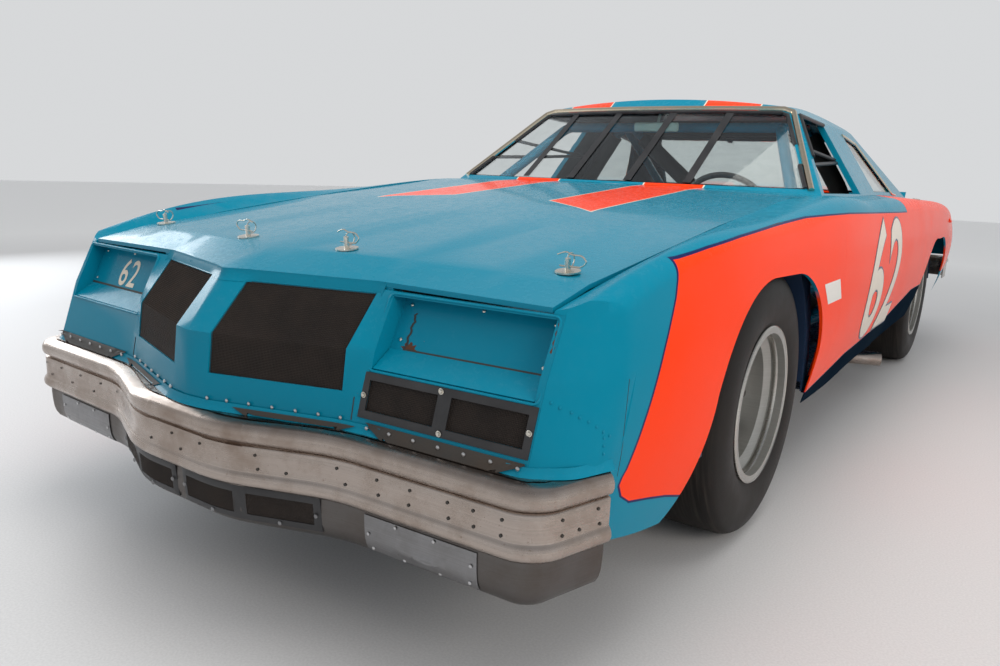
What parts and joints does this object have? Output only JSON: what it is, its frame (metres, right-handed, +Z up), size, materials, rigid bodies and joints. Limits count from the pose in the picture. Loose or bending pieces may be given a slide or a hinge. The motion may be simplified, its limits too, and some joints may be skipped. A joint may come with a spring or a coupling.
{
  "type": "stock car",
  "caption": "Two-door oval-track stock car with a full roll cage, slick tyres on deep steel wheels, opening hood and deck lid, and steered front wheels.",
  "frame": {"origin": "on the floor under the middle of the car", "axes": "+X to the car's left, -Y to its front, +Z up"},
  "size_m": [1.9206, 5.3359, 1.3263],
  "materials": {
    "blue_paint": "gloss",
    "orange_paint": "gloss",
    "bare_steel": "brushed",
    "black_mesh": "matt",
    "blue_cage_paint": "gloss",
    "dark_inner_paint": "satin",
    "window_glass": "clear",
    "lamp_lens": "gloss",
    "pin_steel": "bright",
    "wheel_steel": "silver",
    "tyre_rubber": "smooth",
    "cast_metal": "cast",
    "seat_trim": "woven",
    "dash_metal": "matt",
    "wheel_grip": "matt",
    "mirror_glass": "bright"
  },
  "bodies": {
    "chassis": {"nose_panel": "blue_paint", "mesh_screens": "black_mesh", "lamp_covers": "blue_paint", "front_bumper": "bare_steel", "front_valance": "bare_steel", "left_fender": "orange_paint", "right_fender": "orange_paint", "cowl_panel": "blue_paint", "rear_deck_panel": "blue_paint", "roof_shell": "blue_paint", "windshield": "window_glass", "rear_window": "window_glass", "quarter_windows": "window_glass", "window_braces": "dash_metal", "left_door": "orange_paint", "right_door": "orange_paint", "left_quarter": "orange_paint", "right_quarter": "orange_paint", "tail_panel": "blue_paint", "tail_lamps": "lamp_lens", "rear_bumper": "bare_steel", "floor_pan": "dark_inner_paint", "wheel_houses": "dark_inner_paint", "firewall": "dark_inner_paint", "roll_cage": "blue_cage_paint", "driver_seat": "seat_trim", "dashboard": "dash_metal", "mirror": "mirror_glass", "frame_rails": "dark_inner_paint", "engine_block": "cast_metal", "front_control_arms": "cast_metal", "rear_axle": "cast_metal", "fuel_cell": "dash_metal", "exhaust_pipes": "bare_steel"},
    "hood": {"hood": "blue_paint", "hood_pins": "pin_steel"},
    "deck_lid": {"deck_lid": "blue_paint"},
    "left_knuckle": {"left_knuckle": "cast_metal"},
    "right_knuckle": {"right_knuckle": "cast_metal"},
    "steering_wheel": {"steering_wheel": "wheel_grip"},
    "front_left_wheel": {"front_left_rim": "wheel_steel", "front_left_tyre": "tyre_rubber"},
    "front_right_wheel": {"front_right_rim": "wheel_steel", "front_right_tyre": "tyre_rubber"},
    "rear_left_wheel": {"rear_left_rim": "wheel_steel", "rear_left_tyre": "tyre_rubber"},
    "rear_right_wheel": {"rear_right_rim": "wheel_steel", "rear_right_tyre": "tyre_rubber"}
  },
  "joints": [
    {"name": "hood_hinge", "type": "hinge", "parent": "chassis", "child": "hood", "pos_m": [0, -0.9365, 0.953], "axis": [-1, 0, 0], "range_deg": [0, 55]},
    {"name": "deck_lid_hinge", "type": "hinge", "parent": "chassis", "child": "deck_lid", "pos_m": [0, 1.5735, 0.958], "axis": [1, 0, 0], "range_deg": [0, 60]},
    {"name": "left_steer", "type": "hinge", "parent": "chassis", "child": "left_knuckle", "pos_m": [0.662, -1.439, 0.375], "axis": [0, 0, 1], "range_deg": [-25, 25]},
    {"name": "right_steer", "type": "hinge", "parent": "chassis", "child": "right_knuckle", "pos_m": [-0.662, -1.439, 0.375], "axis": [0, 0, 1], "range_deg": [-25, 25]},
    {"name": "steering_wheel_turn", "type": "hinge", "parent": "chassis", "child": "steering_wheel", "pos_m": [0.36, -0.397, 0.831], "axis": [0, -0.9269, -0.3754], "range_deg": [-300, 300]},
    {"name": "front_left_spin", "type": "hinge", "parent": "left_knuckle", "child": "front_left_wheel", "pos_m": [0.747, -1.439, 0.375], "axis": [1, 0, 0], "continuous": true},
    {"name": "front_right_spin", "type": "hinge", "parent": "right_knuckle", "child": "front_right_wheel", "pos_m": [-0.747, -1.439, 0.375], "axis": [1, 0, 0], "continuous": true},
    {"name": "rear_left_spin", "type": "hinge", "parent": "chassis", "child": "rear_left_wheel", "pos_m": [0.747, 1.482, 0.375], "axis": [1, 0, 0], "continuous": true},
    {"name": "rear_right_spin", "type": "hinge", "parent": "chassis", "child": "rear_right_wheel", "pos_m": [-0.747, 1.482, 0.375], "axis": [1, 0, 0], "continuous": true}
  ],
  "couplings": [
    {"joint": "right_steer", "follows": "left_steer", "ratio": 1},
    {"joint": "steering_wheel_turn", "follows": "left_steer", "ratio": -12}
  ]
}
